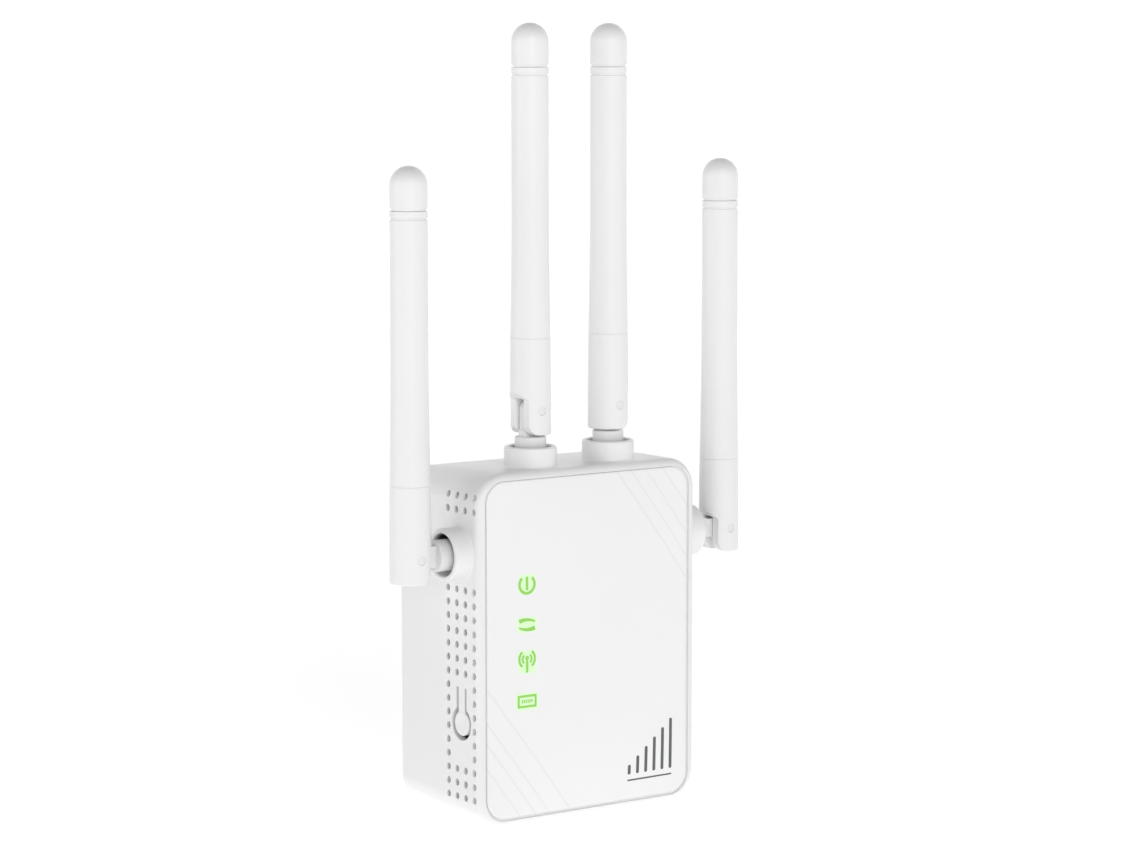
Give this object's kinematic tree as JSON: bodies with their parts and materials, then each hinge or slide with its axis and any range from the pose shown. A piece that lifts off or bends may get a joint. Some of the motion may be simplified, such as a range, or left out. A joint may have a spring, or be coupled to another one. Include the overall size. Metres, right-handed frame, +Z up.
{
  "type": "wall-plug wifi range extender",
  "caption": "Upright white wall-plug network repeater with a crowned front, side vents, lit icons and hinged stick antennas on its sides and top.",
  "frame": {"origin": "the plug's axis, midway between the two blades, on the plane where the rear cover meets the wall", "axes": "+Y out of the back into the wall, -Y towards the person facing the front, +Z up along the top antennas, +X to the right of that person"},
  "size_m": [0.0926, 0.0503, 0.1734],
  "materials": {
    "housing_white": "white moulded plastic, semi-gloss, very fine texture",
    "panel_white": "high-gloss white facing with faint slanting lines",
    "rear_white": "white moulded plastic, matt",
    "hinge_white": "white moulded plastic, satin",
    "antenna_white": "white moulded plastic, satin",
    "icon_green": "translucent green, lit from behind",
    "mark_grey": "dark grey print",
    "clear_guide": "clear moulded plastic",
    "circuit_board": "green solder mask",
    "black_plastic": "black moulded plastic",
    "steel": "plated steel",
    "plated_brass": "nickel-plated brass",
    "aluminium": "extruded, plain",
    "winding": "yellow tape over copper wire",
    "coax_black": "thin black coax sheath"
  },
  "bodies": {
    "housing": {"front_shell": "housing_white", "front_panel": "panel_white", "rear_cover": "rear_white", "case_screw_1": "steel", "case_screw_2": "steel", "plug_carrier": "black_plastic", "plug_blade_left": "plated_brass", "plug_blade_right": "plated_brass", "main_board": "circuit_board", "led_power": "clear_guide", "led_link": "clear_guide", "led_signal": "clear_guide", "led_lan": "clear_guide", "light_pipe_power": "clear_guide", "light_pipe_link": "clear_guide", "light_pipe_signal": "clear_guide", "light_pipe_lan": "clear_guide", "reset_switch": "black_plastic", "rf_shield": "steel", "wifi_chip": "black_plastic", "heat_sink": "aluminium", "lan_jack": "black_plastic", "power_board": "circuit_board", "transformer_core": "black_plastic", "transformer_winding": "winding", "bulk_capacitor_1": "black_plastic", "bulk_capacitor_2": "black_plastic", "output_capacitor": "black_plastic", "board_link": "black_plastic", "left_pigtail": "coax_black", "right_pigtail": "coax_black", "top_left_pigtail": "coax_black", "top_right_pigtail": "coax_black"},
    "reset_button": {"reset_button": "housing_white"},
    "left_hinge": {"left_knuckle": "hinge_white"},
    "left_antenna": {"left_sleeve": "antenna_white", "left_radome": "antenna_white", "left_tip_cap": "antenna_white", "left_radiator": "plated_brass", "left_hinge_pin": "hinge_white"},
    "right_hinge": {"right_knuckle": "hinge_white"},
    "right_antenna": {"right_sleeve": "antenna_white", "right_radome": "antenna_white", "right_tip_cap": "antenna_white", "right_radiator": "plated_brass", "right_hinge_pin": "hinge_white"},
    "top_left_hinge": {"top_left_knuckle": "hinge_white"},
    "top_left_antenna": {"top_left_sleeve": "antenna_white", "top_left_radome": "antenna_white", "top_left_tip_cap": "antenna_white", "top_left_radiator": "plated_brass", "top_left_hinge_pin": "hinge_white"},
    "top_right_hinge": {"top_right_knuckle": "hinge_white"},
    "top_right_antenna": {"top_right_sleeve": "antenna_white", "top_right_radome": "antenna_white", "top_right_tip_cap": "antenna_white", "top_right_radiator": "plated_brass", "top_right_hinge_pin": "hinge_white"}
  },
  "joints": [
    {"name": "reset_press", "type": "hinge", "parent": "housing", "child": "reset_button", "pos_m": [-0.0289, -0.026, -0.0207], "axis": [0, -1, 0], "range_deg": [0, 4.5], "stiffness_Nm_per_rad": 0.2},
    {"name": "left_swivel", "type": "hinge", "parent": "housing", "child": "left_hinge", "pos_m": [-0.0294, -0.0252, 0.0085], "axis": [-1, 0, 0], "range_deg": [-90, 90]},
    {"name": "left_tilt", "type": "hinge", "parent": "left_hinge", "child": "left_antenna", "pos_m": [-0.0418, -0.0252, 0.0085], "axis": [0, -1, 0], "range_deg": [0, 90]},
    {"name": "right_swivel", "type": "hinge", "parent": "housing", "child": "right_hinge", "pos_m": [0.0294, -0.0252, 0.0085], "axis": [1, 0, 0], "range_deg": [-90, 90]},
    {"name": "right_tilt", "type": "hinge", "parent": "right_hinge", "child": "right_antenna", "pos_m": [0.0418, -0.0252, 0.0085], "axis": [0, 1, 0], "range_deg": [0, 90]},
    {"name": "top_left_swivel", "type": "hinge", "parent": "housing", "child": "top_left_hinge", "pos_m": [-0.0105, -0.0252, 0.0261], "axis": [0, 0, 1], "range_deg": [-90, 90]},
    {"name": "top_left_tilt", "type": "hinge", "parent": "top_left_hinge", "child": "top_left_antenna", "pos_m": [-0.0105, -0.0252, 0.0385], "axis": [0, -1, 0], "range_deg": [0, 20]},
    {"name": "top_right_swivel", "type": "hinge", "parent": "housing", "child": "top_right_hinge", "pos_m": [0.0105, -0.0252, 0.0261], "axis": [0, 0, 1], "range_deg": [-90, 90]},
    {"name": "top_right_tilt", "type": "hinge", "parent": "top_right_hinge", "child": "top_right_antenna", "pos_m": [0.0105, -0.0252, 0.0385], "axis": [0, 1, 0], "range_deg": [0, 20]}
  ]
}
